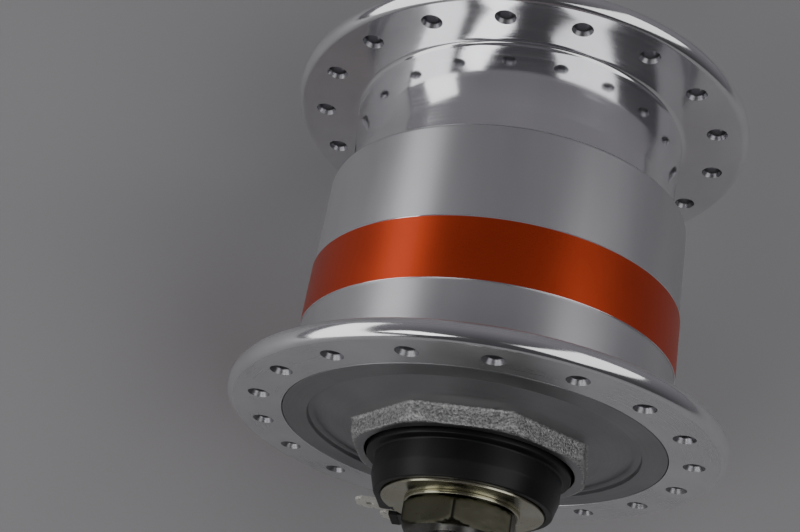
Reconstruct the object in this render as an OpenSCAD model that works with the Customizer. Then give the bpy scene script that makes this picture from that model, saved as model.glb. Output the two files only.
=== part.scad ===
// Bicycle hub dynamo, drawn about its axle. The wheel axis is Y, the dynamo end is at -Y.
// Stations named s_ run along the axle from the outer face of the dynamo side flange.

/* [Axle] */
// Distance between the outer faces of the two lock nuts
over_locknut = 100; // [96:1:112]
// Full length of the axle
axle_length = 140; // [138:1:150]
// Diameter of the plain seat that a fork end rests on
axle_seat_d = 9; // [8.8:0.1:9.6]
// Length of that seat, outward from each lock nut
seat_length = 7; // [6:0.25:8]
// Diameter half way down the thread, at which the threaded stretches are drawn
thread_d = 8.4; // [8.2:0.05:8.5]
// Diameter of the thick stretch that carries the stator
axle_core_d = 10; // [9.6:0.1:11]
// Bevel at both tips of the axle
axle_bevel = 0.8; // [0.4:0.1:1.2]

/* [Shell] */
// Thickness of a flange between its two faces
flange_t = 3.2; // [2.8:0.1:3.8]
// Diameter of the round bead along a flange's rim
bead_d = 4; // [3.8:0.1:4.2]
// From the dynamo flange's outer face to the far flange's inner face
flange_reach = 57.7; // [56:0.1:60]
// From the barrel to the spoke hole circle
spoke_gap = 4.2; // [3.8:0.1:4.8]
// From the spoke hole circle to the edge of the flange
spoke_edge = 5.2; // [4.6:0.1:6]
// Spoke holes in each flange
spoke_holes = 18; // [14:1:20]
// Diameter of a spoke hole
spoke_hole_d = 2.6; // [2.3:0.1:2.9]
// Diameter of the countersink round a spoke hole
countersink_d = 3.7; // [3.3:0.1:4.2]
// Outside diameter of the barrel round the generator
barrel_d = 61.6; // [60.6:0.2:62.4]
// Wall of the barrel
barrel_wall = 2.6; // [2.2:0.1:3]
// Where the barrel ends in its shoulder
barrel_end = 40.8; // [39:0.2:42.4]
// Rounding of the barrel's shoulder
shoulder_corner = 0.8; // [0.4:0.1:1.2]
// Fillet between the dynamo side flange and the barrel
root_fillet = 2.6; // [2:0.1:3]
// How far the neck lies below the barrel
neck_step = 2.6; // [2:0.1:3.2]
// Wall of the neck
neck_wall = 2.7; // [2.2:0.1:3.2]
// Fillet between the neck and the far flange
neck_fillet = 1.6; // [1.2:0.1:2]
// Wall between the neck's hollow and the far bearing
bulkhead_t = 1.8; // [1.6:0.1:2.4]
// Diameter of the boss round the far bearing
far_boss_d = 32; // [30:0.5:35]
// How far that boss stands out from the far flange's outer face
far_boss_reach = 9.6; // [9:0.1:10.4]
// Fillet at the foot of that boss
boss_fillet = 4; // [3:0.1:4.4]

/* [Colour band] */
// Where the band starts on the barrel
band_start = 13.7; // [12:0.1:15]
// Width of the band
band_w = 10.6; // [8:0.1:12]
// Thickness of the band
band_t = 0.25; // [0.2:0.05:0.4]

/* [End cap] */
// Width of the ledge in the shell that the cap's rim lies on
cap_ledge = 2.8; // [2.4:0.1:3.2]
// Gap all round between the cap's rim and its seat in the shell
cap_gap = 0.1; // [0.05:0.05:0.15]
// Thickness of the cap's rim
cap_rim_t = 2.2; // [1.9:0.1:2.4]
// Thickness of the gasket under the rim
gasket_t = 0.6; // [0.4:0.1:0.7]
// Width of the cap's rim round its raised middle
cap_border = 4.4; // [3.6:0.1:5]
// How far the raised middle stands proud of the rim
plateau_h = 0.95; // [0.6:0.05:1.2]
// Octagon boss, across its flats
octagon_af = 36.7; // [36:0.1:38]
// How far the octagon stands proud of the rim
octagon_h = 3.9; // [3.6:0.1:4.6]
// Bore of the octagon, which the connector ring runs in
boss_bore_d = 33.7; // [33.4:0.1:34.4]

/* [Dynamo side bearing] */
// Bore of the bearing
db_bore = 15; // [14.6:0.1:15.4]
// Outside diameter of the bearing
db_od = 28; // [27.6:0.1:28.6]
// Width of the bearing
db_width = 7; // [6.8:0.1:7.2]
// Thickness of each of its races beside the groove
race_t = 1.82; // [1.7:0.02:1.9]
// Balls in the bearing
db_balls = 9; // [7:1:10]
// Diameter of every ball in the hub
ball_d = 4.76; // [4.5:0.02:4.8]
// Clearance between a ball and its groove
ball_play = 0.1; // [0.06:0.01:0.14]
// Thickness of each rubber seal
seal_t = 0.3; // [0.2:0.05:0.4]
// Thickness of the cage between the balls
cage_t = 1.4; // [1.2:0.1:1.6]
// Thickness of the retaining ring
circlip_t = 1.2; // [1:0.1:1.3]
// Width of the retaining ring, across its section
circlip_w = 1.85; // [1.6:0.05:2.2]
// Depth of its groove
circlip_seat = 0.7; // [0.5:0.05:0.9]
// Opening of the retaining ring, in degrees
circlip_opening = 30; // [20:1:50]

/* [Connector end] */
// Largest diameter of the black connector ring
ring_d = 32.8; // [32.4:0.1:33]
// Diameter of the connector ring at its outer lip
ring_lip_d = 28.4; // [28:0.1:28.8]
// Diameter of the mouth inside that lip
ring_mouth_d = 26.4; // [26:0.1:26.8]
// How far the connector ring stands out from the flange's outer face
ring_reach = 10.6; // [10.2:0.1:11.4]
// Thickness of the connector ring's front wall
web_t = 1.4; // [1.2:0.1:1.6]
// Thickness of the zinc plated cover plate
plate_t = 0.6; // [0.5:0.05:0.8]
// Thickness of the round washer on the cover plate
washer_t = 0.6; // [0.5:0.05:0.9]
// Diameter of that washer
washer_d = 18.4; // [17:0.1:19.6]
// Thickness of the lock nuts
lock_nut_t = 4.5; // [4.2:0.1:5]
// Lock nuts, across their flats
lock_nut_af = 17; // [16.6:0.1:17.6]
// Width of a terminal blade
blade_w = 4.8; // [4.6:0.1:5]
// Thickness of a terminal blade
blade_t = 0.5; // [0.4:0.05:0.6]
// Diameter of the catch hole in a terminal blade
blade_hole_d = 1.4; // [1.2:0.1:1.6]
// From a blade's tip to the middle of its catch hole
blade_hole_in = 2.4; // [2.1:0.1:2.8]
// From the axle's middle to the middle of the live blade, across the blades
live_offset = 7.7; // [7.5:0.1:8]
// Between the middles of the two blades
blade_pitch = 5.8; // [5.7:0.1:6.2]
// From the axle's middle to the tip of the live blade, along the blades
live_reach = 18.2; // [17.6:0.1:19]
// From the axle's middle to the tip of the ground blade
ground_reach = 14.7; // [14.2:0.1:15.4]
// Length of a blade's leg
leg_h = 4; // [3.8:0.1:4.2]
// Width of a blade's leg
leg_w = 2; // [1.6:0.1:2.2]
// Diameter of an insulated lead
lead_d = 1; // [0.8:0.05:1.1]

/* [Generator] */
// Wall of the steel yoke ring
yoke_wall = 2.5; // [2.2:0.1:2.8]
// Thickness of the magnets
magnet_t = 3; // [2.6:0.1:3.2]
// Magnets round the stator
magnets = 4; // [4:1:8]
// Gap between two magnets, in degrees
magnet_gap = 2; // [1:0.5:4]
// Gap between the magnets and the claws
air_gap = 0.4; // [0.3:0.05:0.6]
// Thickness of the claw plates and of their fingers
claw_t = 2; // [1.6:0.1:2.2]
// Fingers on each claw plate
claws = 14; // [10:1:14]
// Width of a finger at its root
claw_root_w = 4.2; // [3.6:0.1:4.6]
// Width of a finger at its tip
claw_tip_w = 2.2; // [1.8:0.1:2.6]
// Length of the whole stator
stator_length = 23; // [21:0.5:24]
// Outside diameter of the steel core tube
core_d = 18; // [17:0.2:19]
// Wall of the coil bobbin
bobbin_wall = 1; // [0.8:0.1:1.2]
// Thickness of the nut that clamps the stator
stator_nut_t = 4; // [3.5:0.1:5]

/* [Far side bearing] */
// Outside diameter of the pressed cup
cup_d = 25; // [24.6:0.1:26]
// Length of the pressed cup
cup_length = 7.8; // [7.4:0.1:8]
// Diameter of the circle that the balls run on
far_pcd = 17.6; // [17.2:0.1:18]
// Balls in the far bearing
far_balls = 9; // [7:1:9]
// Outside diameter of the cone's wrench end
cone_d = 16; // [15.6:0.1:16.4]
// Cone, across its wrench flats
cone_af = 14; // [13:0.1:15]
// Thickness of the washer on the cone
cone_washer_t = 1.4; // [1:0.1:1.6]
// Thickness of the sheet clip that keeps the far balls apart
clip_t = 0.7; // [0.6:0.05:0.8]
// Length of the clip's fingers
clip_reach = 1.8; // [1.4:0.1:2]
// Width of the clip's fingers
clip_finger_w = 0.9; // [0.7:0.1:1]

/* [Hub nuts] */
// Hub nuts, across their flats
hub_nut_af = 15; // [14:0.1:16]
// Height of a hub nut above its washer
hub_nut_h = 7.4; // [6.5:0.1:8]
// Diameter of the serrated washer
tooth_washer_d = 19; // [18:0.2:20]
// Thickness of the serrated washer
tooth_washer_t = 2.6; // [2.4:0.1:3]
// Ridges on the serrated washer
ridges = 28; // [20:1:32]
// Depth of the grooves between the ridges
ridge_depth = 0.6; // [0.4:0.05:0.8]
// Wall of the collar that holds the serrated washer on its nut
collar_wall = 1.42; // [1.2:0.02:1.6]
// How far the tip of the axle stands out of a nut that is wound back
nut_show = 1.45; // [1:0.05:2.5]

/* [Hidden] */
$fn = 96;
// Small overshoot of a cut past the face that it opens
cut = 0.5;
// Clearance of a fixed nut on its thread, and of a nut that turns
thread_play = 0.03;
nut_play = 0.05;
// Clearance of pieces that sit in each other on one body
seat_play = 0.05;
// Clearance of pieces that turn in each other
turn_play = 0.08;

// Stations along the axle
s_web = -(ring_reach - 0.2);
s_plate = s_web - plate_t;
s_lock_dynamo = s_plate - washer_t - lock_nut_t;
s_lock_far = s_lock_dynamo + over_locknut;
s_middle = (s_lock_dynamo + s_lock_far) / 2;
s_flange_far = flange_reach + flange_t;
s_boss_end = s_flange_far + far_boss_reach;
s_bearing = 0.6;
s_bearing_end = s_bearing + db_width;
s_cap_hub = s_bearing_end + circlip_t + 0.8;
s_stator = s_cap_hub + 0.9;
s_stator_end = s_stator + stator_length;
s_core = s_stator + claw_t;
s_core_end = s_stator_end - claw_t;
s_cup = s_boss_end - 1.2 - cup_length;
s_far_balls = s_cup + cup_length / 2;
s_blade = s_web + 0.4;
s_leg_end = s_blade + leg_h;
s_lead = s_leg_end + lead_d + 0.45;
s_nut_parked = axle_length / 2 - nut_show - hub_nut_h - seat_play - tooth_washer_t;

// Radii
seat_r = axle_seat_d / 2;
thread_r = thread_d / 2;
axle_core_r = axle_core_d / 2;
barrel_r = barrel_d / 2;
bore_r = barrel_r - barrel_wall;
spoke_r = barrel_r + spoke_gap;
flange_r = spoke_r + spoke_edge;
neck_r = barrel_r - neck_step;
neck_bore_r = neck_r - neck_wall;
cap_r = bore_r + cap_ledge;
plateau_r = cap_r - cap_border;
cap_seat_r = cap_r + cap_gap;
cap_seat_depth = cap_rim_t + gasket_t;
boss_bore_r = boss_bore_d / 2;
yoke_r = bore_r - yoke_wall;
magnet_r = yoke_r - magnet_t;
stator_r = magnet_r - air_gap;
finger_r = stator_r - claw_t;
core_r = core_d / 2;
sleeve_r = db_bore / 2;
ball_r = ball_d / 2;
groove_r = ball_r + ball_play;
db_r = db_od / 2;
db_pitch_r = (db_bore + db_od) / 4;
cup_r = cup_d / 2;
far_pitch_r = far_pcd / 2;
nut_bore_r = seat_r + nut_play;
ring_r = ring_d / 2;
ring_lip_r = ring_lip_d / 2;
ring_mouth_r = ring_mouth_d / 2;
tube_in = sleeve_r + seat_play;
tube_out = tube_in + 1.6;
collar_r = nut_bore_r + collar_wall;
washer_hole_r = collar_r + turn_play;
mouth_r = seat_r + 0.15;

// Angles round the axle, as seen from the dynamo end
hole_angle_dynamo = 183.7;
hole_angle_far = hole_angle_dynamo + 180 / spoke_holes;
octagon_angle = 7.2;
blade_angle = 166;
lock_nut_angle = 14;
lead_angle = 117;
lead_spread = 8;
lead_hole_half = 22;
circlip_angle = 100;

// Turns a piece drawn along +Z so that it lies along +Y at its station
module along_axle(s = 0) {
    rotate([-90, 0, 0])
        translate([0, 0, s - s_middle])
            children();
}

// A ring between two radii and two stations
module ring(inner, outer, from, to) {
    translate([0, 0, from])
        difference() {
            cylinder(r = outer, h = to - from);
            translate([0, 0, -cut])
                cylinder(r = inner, h = to - from + 2 * cut);
        }
}

// A solid of revolution from an outline of radius and station
module turned(outline) {
    rotate_extrude()
        polygon(outline);
}

// A groove of round section
module ball_groove(pitch_r, s) {
    translate([0, 0, s])
        rotate_extrude()
            translate([pitch_r, 0])
                circle(r = groove_r, $fn = 48);
}

// Points of a quarter round in an outline, from one angle to another
function arc(cr, cs, r, a0, a1, steps = 4) =
    [for (i = [0 : steps]) let (a = a0 + (a1 - a0) * i / steps) [cr + r * cos(a), cs + r * sin(a)]];

function on_circle(r, a, s) = [r * cos(a), r * sin(a), s];

// A place beside the blades: u along them, v across them
function beside_blade(u, v, s) = [
    u * cos(blade_angle) - v * sin(blade_angle),
    u * sin(blade_angle) + v * cos(blade_angle),
    s
];

// A hexagon nut with both ends bevelled at its corners and its thread's mouths widened
module hex_nut(af, h, bore, mouth, bevel_low = true) {
    corner_r = af / 2 / cos(30);
    lift = (corner_r - af / 2) * tan(30);
    low = bevel_low ? lift : 0;
    difference() {
        intersection() {
            cylinder(r = corner_r, h = h, $fn = 6);
            turned([
                [0, 0], [bevel_low ? af / 2 : corner_r + cut, 0], [corner_r + cut, low + cut * tan(30)],
                [corner_r + cut, h - lift - cut * tan(30)], [af / 2, h], [0, h]
            ]);
        }
        translate([0, 0, -cut])
            cylinder(r = bore, h = h + 2 * cut);
        if (mouth > bore) {
            translate([0, 0, -0.01])
                cylinder(r1 = mouth, r2 = bore, h = mouth - bore);
            translate([0, 0, h - mouth + bore + 0.01])
                cylinder(r1 = bore, r2 = mouth, h = mouth - bore);
        }
    }
}

// A sector of a ring, for windows and blocks
module sector(inner, outer, from, to, a0, a1) {
    translate([0, 0, from])
        rotate([0, 0, a0])
            rotate_extrude(angle = a1 - a0)
                translate([inner, 0])
                    square([outer - inner, to - from]);
}

module axle() {
    tip_low = s_middle - axle_length / 2;
    tip_high = s_middle + axle_length / 2;
    seat_low = s_lock_dynamo - seat_length;
    seat_high = s_lock_far + seat_length;
    color([0.62, 0.62, 0.58])
        along_axle()
            turned([
                [0, tip_low], [thread_r - axle_bevel, tip_low], [thread_r, tip_low + axle_bevel],
                [thread_r, seat_low], [seat_r, seat_low], [seat_r, s_lock_dynamo],
                [thread_r, s_lock_dynamo], [thread_r, s_stator], [axle_core_r, s_stator],
                [axle_core_r, s_stator_end + stator_nut_t + 1], [thread_r, s_stator_end + stator_nut_t + 1],
                [thread_r, s_lock_far], [seat_r, s_lock_far], [seat_r, seat_high], [thread_r, seat_high],
                [thread_r, tip_high - axle_bevel], [thread_r - axle_bevel, tip_high], [0, tip_high]
            ]);
}

module stator_core() {
    color([0.45, 0.46, 0.48])
        along_axle()
            ring(axle_core_r + thread_play, core_r, s_core, s_core_end);
}

// One plate of interleaved pole fingers, with its plate at 0 and its fingers along +Z
module claw_plate() {
    finger_length = stator_length - claw_t * 0.6;
    root_r = finger_r - 1.5;
    difference() {
        union() {
            cylinder(r = root_r, h = claw_t);
            intersection() {
                cylinder(r = stator_r, h = finger_length);
                for (k = [0 : claws - 1])
                    rotate([0, 0, k * 360 / claws])
                        translate([root_r - 0.8, 0, 0])
                            rotate([90, 0, 90])
                                linear_extrude(height = stator_r - root_r + 2)
                                    polygon([
                                        [-claw_root_w / 2, 0], [claw_root_w / 2, 0],
                                        [claw_root_w / 2, claw_t], [claw_tip_w / 2, finger_length],
                                        [-claw_tip_w / 2, finger_length], [-claw_root_w / 2, claw_t]
                                    ]);
            }
        }
        translate([0, 0, claw_t])
            cylinder(r = finger_r, h = finger_length);
        translate([0, 0, -cut])
            cylinder(r = axle_core_r + thread_play, h = claw_t + 2 * cut);
    }
}

// The slot that the leads leave the coil through
module lead_slot(from, to, inner) {
    outer = core_r + bobbin_wall + 2 * lead_d + 0.6;
    rotate([0, 0, lead_angle])
        translate([inner, -lead_d * 2.5, from])
            cube([outer - inner, lead_d * 5, to - from]);
}

module claw_plate_dynamo() {
    color([0.55, 0.56, 0.58])
        along_axle()
            difference() {
                translate([0, 0, s_stator])
                    claw_plate();
                lead_slot(s_stator - cut, s_core + cut, core_r + seat_play);
            }
}

module claw_plate_far() {
    color([0.5, 0.51, 0.53])
        along_axle(s_stator_end)
            rotate([180, 0, 180 / claws])
                claw_plate();
}

module coil_bobbin() {
    flange = finger_r - 0.7;
    inner = core_r + seat_play;
    wall = core_r + bobbin_wall;
    color([0.85, 0.83, 0.76])
        along_axle()
            difference() {
                turned([
                    [inner, s_core], [flange, s_core], [flange, s_core + bobbin_wall],
                    [wall, s_core + bobbin_wall], [wall, s_core_end - bobbin_wall],
                    [flange, s_core_end - bobbin_wall], [flange, s_core_end], [inner, s_core_end]
                ]);
                lead_slot(s_core - cut, s_core + bobbin_wall, wall);
            }
}

module coil_winding() {
    color([0.72, 0.36, 0.16])
        along_axle()
            ring(core_r + bobbin_wall, finger_r - 1.5, s_core + bobbin_wall, s_core_end - bobbin_wall);
}

module stator_nut() {
    color([0.6, 0.6, 0.56])
        along_axle(s_stator_end)
            hex_nut(lock_nut_af, stator_nut_t, axle_core_r + thread_play, axle_core_r + 0.3);
}

// Carries the inner race and lets the leads pass beneath it
module bearing_sleeve() {
    floor_r = sleeve_r - lead_d - 0.6;
    color([0.58, 0.58, 0.56])
        along_axle()
            difference() {
                turned([
                    [thread_r + thread_play, s_web + web_t], [sleeve_r, s_web + web_t],
                    [sleeve_r, s_bearing_end], [sleeve_r + 1.1, s_bearing_end],
                    [sleeve_r + 1.1, s_stator], [thread_r + thread_play, s_stator]
                ]);
                rotate([0, 0, lead_angle])
                    translate([floor_r, -lead_d * 2.1, s_web])
                        cube([sleeve_r, lead_d * 4.2, s_stator - s_web + cut]);
            }
}

module dynamo_inner_race() {
    color([0.72, 0.73, 0.75])
        along_axle()
            difference() {
                ring(sleeve_r, sleeve_r + race_t, s_bearing, s_bearing_end);
                ball_groove(db_pitch_r, (s_bearing + s_bearing_end) / 2);
            }
}

// Edges of the blades and faces of their block: u along the blades, v across them
live_v = -live_offset;
ground_v = -live_offset - blade_pitch;
live_edge = live_v + blade_w / 2;
ground_edge = ground_v + blade_w / 2;
sleeve_wall = 0.5;
sleeve_length = 1.4;
block_from = 2.3;
block_to = ring_lip_r - 2.6;
live_foot_to = ring_lip_r - 0.3;
block_upper = ground_edge + sleeve_wall;
block_lower = ground_v - blade_w / 2 - sleeve_wall;
live_root = 9.6;
ground_root = block_from + 1.2;

// A box in the blades' axes
module blade_box(u0, u1, v0, v1, s0, s1) {
    rotate([0, 0, blade_angle])
        translate([u0, v0, s0])
            cube([u1 - u0, v1 - v0, s1 - s0]);
}

// The lip's straight end, which passes over the live blade
module lip_wall() {
    wall_in = ring_mouth_r - 0.3;
    rotate([0, 0, blade_angle])
        translate([0, 0, -ring_reach])
            linear_extrude(height = 2.4)
                polygon([
                    [wall_in, -ring_mouth_r * sin(12)], [ring_lip_r, 0], [ring_lip_r, live_v + 0.4],
                    [ring_lip_r - 0.4, live_v], [wall_in - 0.7, live_v]
                ]);
}

// The room for the terminals in the connector ring, which leaves the tube round the bearing sleeve
module terminal_window() {
    far_out = ring_r + 2;
    difference() {
        union() {
            blade_box(block_from - seat_play, far_out, block_lower - seat_play, live_edge + seat_play,
                      s_blade - seat_play, s_leg_end + seat_play);
            blade_box(block_from - seat_play, far_out, block_lower - seat_play, live_v,
                      -ring_reach - cut, s_leg_end);
        }
        translate([0, 0, -ring_reach - 2 * cut])
            cylinder(r = tube_out + 0.3, h = ring_reach);
    }
}

// The black moulding that closes the dynamo end and holds the terminals
module connector_ring() {
    wall_low = -1.5;
    shoulder = -(octagon_h + 0.6);
    inner_r = ring_mouth_r - 0.2;
    floor_s = s_web + web_t;
    edge_round = 0.5;
    lean = 60;
    color([0.09, 0.09, 0.1])
        along_axle()
            difference() {
                union() {
                    turned(concat(
                        [[thread_r + thread_play, s_web], [ring_mouth_r, s_web], [ring_mouth_r, -ring_reach]],
                        arc(ring_lip_r - edge_round, -ring_reach + edge_round, edge_round, -90, -10),
                        arc(ring_r - edge_round, shoulder + edge_round, edge_round, -lean, 0),
                        [[ring_r, wall_low], [ring_r - 1.8, wall_low], [inner_r, floor_s],
                         [tube_out, floor_s], [tube_out, s_bearing], [tube_in, s_bearing],
                         [tube_in, floor_s], [thread_r + thread_play, floor_s]]
                    ));
                    lip_wall();
                }
                terminal_window();
                sector(tube_in - cut, tube_out + cut, s_lead - lead_d, s_lead + lead_d,
                       lead_angle - lead_hole_half, lead_angle + lead_hole_half);
            }
}

// A flat blade with a narrow leg at its inner end, and a hole near its tip
module blade(u0, u1, v) {
    tip = blade_w / 4;
    half = blade_w / 2;
    rotate([0, 0, blade_angle])
        difference() {
            union() {
                linear_extrude(height = blade_t)
                    polygon([
                        [u0, v - half], [u1 - tip, v - half], [u1, v - half + tip],
                        [u1, v + half - tip], [u1 - tip, v + half], [u0, v + half]
                    ]);
                translate([u0, v + half - leg_w, 0])
                    cube([blade_t, leg_w, leg_h]);
            }
            translate([u1 - blade_hole_in, v, -cut])
                cylinder(d = blade_hole_d, h = blade_t + 2 * cut, $fn = 24);
        }
}

module terminal_blade_live() {
    color([0.86, 0.85, 0.78])
        along_axle(s_blade)
            blade(live_root, live_reach, live_v);
}

module terminal_blade_ground() {
    color([0.8, 0.79, 0.74])
        along_axle(s_blade)
            blade(ground_root, ground_reach, ground_v);
}

// A slot in the terminal block for a blade's leg
module leg_slot(u, edge) {
    blade_box(u - seat_play, u + blade_t + seat_play, edge - leg_w - seat_play, edge + seat_play,
              s_blade, s_leg_end + cut);
}

// The black block under the live blade and round the ground blade
module terminal_block() {
    block_end = s_leg_end - seat_play;
    color([0.12, 0.12, 0.13])
        along_axle()
            difference() {
                union() {
                    blade_box(block_from, live_foot_to, block_upper, live_edge,
                              s_blade + blade_t, block_end);
                    blade_box(block_from, block_to, block_lower, block_upper + 0.01, s_web, block_end);
                }
                translate([0, 0, -ring_reach])
                    cylinder(r = tube_out + 0.35, h = ring_reach);
                blade_box(ground_root - seat_play, block_to + cut, ground_v - blade_w / 2 - seat_play,
                          ground_edge + seat_play, s_blade - seat_play, s_blade + blade_t + seat_play);
                leg_slot(live_root, live_edge);
                leg_slot(ground_root, ground_edge);
            }
}

// The black sleeve round the root of the ground blade
module blade_sleeve() {
    snug = 0.02;
    color([0.08, 0.08, 0.09])
        along_axle()
            difference() {
                blade_box(block_to, block_to + sleeve_length, block_lower, block_upper,
                          s_blade - sleeve_wall, s_blade + blade_t + sleeve_wall);
                blade_box(block_to - cut, block_to + sleeve_length + cut, block_lower + sleeve_wall - snug,
                          block_upper - sleeve_wall + snug, s_blade - snug, s_blade + blade_t + snug);
            }
}

// A round wire through a row of places, with round elbows
module wire(places) {
    for (i = [0 : len(places) - 2]) {
        step = places[i + 1] - places[i];
        length = norm(step);
        translate(places[i])
            rotate([0, acos(step[2] / length), atan2(step[1], step[0])])
                cylinder(d = lead_d, h = length, $fn = 24);
        if (i > 0)
            translate(places[i])
                sphere(d = lead_d * 1.06, $fn = 24);
    }
}

// One lead from the coil, under the bearing and out to its blade's leg
module lead(angle, root, edge) {
    coil_r = core_r + bobbin_wall + lead_d / 2 + 0.4;
    under_r = sleeve_r - lead_d / 2 - 0.1;
    turn_s = (s_bearing_end + s_stator) / 2 + 0.1;
    u = root + blade_t / 2;
    v = edge - leg_w / 2;
    wire([
        on_circle(coil_r, angle, s_core + bobbin_wall), on_circle(coil_r, angle, turn_s),
        on_circle(under_r, angle, turn_s), on_circle(under_r, angle, s_lead),
        beside_blade(u, v, s_lead), beside_blade(u, v, s_leg_end)
    ]);
}

module lead_wires() {
    color([0.75, 0.12, 0.1])
        along_axle() {
            lead(lead_angle + lead_spread, live_root, live_edge);
            lead(lead_angle - lead_spread, ground_root, ground_edge);
        }
}

// The plate in the mouth of the connector ring, nicked beside the live blade
module cover_plate() {
    nick_from = ring_mouth_r - 1.75;
    color([0.62, 0.61, 0.5])
        along_axle()
            difference() {
                ring(thread_r + thread_play, ring_mouth_r - 0.2, s_plate, s_web);
                blade_box(nick_from, ring_mouth_r + cut, live_v, live_edge + 0.9, s_plate - cut, s_web + cut);
            }
}

module plate_washer() {
    color([0.72, 0.71, 0.6])
        along_axle()
            turned([
                [thread_r + thread_play, s_plate - washer_t], [washer_d / 2 - 0.2, s_plate - washer_t],
                [washer_d / 2, s_plate - washer_t + 0.2], [washer_d / 2, s_plate],
                [thread_r + thread_play, s_plate]
            ]);
}

module lock_nut_dynamo() {
    color([0.6, 0.6, 0.52])
        along_axle(s_lock_dynamo)
            rotate([0, 0, lock_nut_angle])
                hex_nut(lock_nut_af, lock_nut_t, thread_r + thread_play, mouth_r);
}

module far_cone() {
    tail_r = far_pitch_r - groove_r - 0.1;
    to = s_lock_far - lock_nut_t - cone_washer_t;
    flat_from = s_boss_end + 1.2;
    color([0.62, 0.62, 0.58])
        along_axle()
            difference() {
                turned([
                    [thread_r + thread_play, s_far_balls - 2.6], [tail_r, s_far_balls - 2.6],
                    [tail_r, s_far_balls], [cone_d / 2, s_far_balls], [cone_d / 2, to - 0.4],
                    [cone_d / 2 - 0.4, to], [thread_r + thread_play, to]
                ]);
                ball_groove(far_pitch_r, s_far_balls);
                for (side = [0, 180])
                    rotate([0, 0, side])
                        translate([cone_af / 2, -cone_d, flat_from])
                            cube([cone_d, 2 * cone_d, to - flat_from - 1.2]);
            }
}

module cone_washer() {
    from = s_lock_far - lock_nut_t - cone_washer_t;
    color([0.55, 0.55, 0.55])
        along_axle()
            ring(thread_r + thread_play, cone_d / 2 + 0.4, from, from + cone_washer_t);
}

module lock_nut_far() {
    color([0.6, 0.6, 0.55])
        along_axle(s_lock_far - lock_nut_t)
            hex_nut(lock_nut_af, lock_nut_t, thread_r + thread_play, mouth_r);
}

// Spoke holes of one flange, countersunk from both faces
module spoke_hole_ring(face, angle) {
    sink = (countersink_d - spoke_hole_d) / 2;
    for (k = [0 : spoke_holes - 1])
        rotate([0, 0, angle + k * 360 / spoke_holes])
            translate([spoke_r, 0, face]) {
                translate([0, 0, -cut])
                    cylinder(d = spoke_hole_d, h = flange_t + 2 * cut, $fn = 24);
                translate([0, 0, -0.01])
                    cylinder(d1 = countersink_d, d2 = spoke_hole_d, h = sink, $fn = 24);
                translate([0, 0, flange_t - sink + 0.01])
                    cylinder(d1 = spoke_hole_d, d2 = countersink_d, h = sink, $fn = 24);
            }
}

// Half of the shell's section, outside and inside
module shell_section() {
    boss_r = far_boss_d / 2;
    boss_corner = 0.6;
    step_fillet = 1;
    cup_lip_r = cup_r - 1.9;
    bore_end = barrel_end - 2.2;
    neck_end = flange_reach - bulkhead_t - 2.4;
    polygon(concat(
        [[cap_seat_r, 0], [flange_r - bead_d / 2, 0], [flange_r - bead_d / 2, flange_t]],
        arc(barrel_r + root_fillet, flange_t + root_fillet, root_fillet, -90, -180, 6),
        arc(barrel_r - shoulder_corner, barrel_end - shoulder_corner, shoulder_corner, 0, 90),
        arc(neck_r + 0.6 + step_fillet, barrel_end + step_fillet, step_fillet, -90, -180),
        [[neck_r + 0.15, barrel_end + 4.4], [neck_r, (barrel_end + flange_reach) / 2],
         [neck_r + 0.2, flange_reach - 5]],
        arc(neck_r + 0.5 + neck_fillet, flange_reach - neck_fillet, neck_fillet, 180, 90, 5),
        [[flange_r - bead_d / 2, flange_reach], [flange_r - bead_d / 2, s_flange_far],
         [neck_r - 1.6, s_flange_far]],
        arc(boss_r + boss_fillet, s_flange_far + 1.2 + boss_fillet, boss_fillet, -110, -180, 5),
        arc(boss_r - boss_corner, s_boss_end - boss_corner, boss_corner, 0, 90, 3),
        [[cup_r, s_boss_end], [cup_r, s_cup], [cup_lip_r, s_cup], [cup_lip_r, s_cup - bulkhead_t],
         [cup_r + 4, s_cup - bulkhead_t], [neck_bore_r, neck_end], [neck_bore_r, barrel_end + 1.6],
         [bore_r, bore_end], [bore_r, cap_seat_depth], [cap_seat_r, cap_seat_depth]]
    ));
    for (face = [0, flange_reach])
        translate([flange_r - bead_d / 2, face + flange_t / 2])
            circle(d = bead_d, $fn = 48);
}

module hub_shell() {
    color([0.8, 0.81, 0.82])
        along_axle()
            difference() {
                rotate_extrude()
                    shell_section();
                spoke_hole_ring(0, hole_angle_dynamo);
                spoke_hole_ring(flange_reach, hole_angle_far);
            }
}

module colour_band() {
    color([0.83, 0.23, 0.08])
        along_axle()
            ring(barrel_r, barrel_r + band_t, band_start, band_start + band_w);
}

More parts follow.
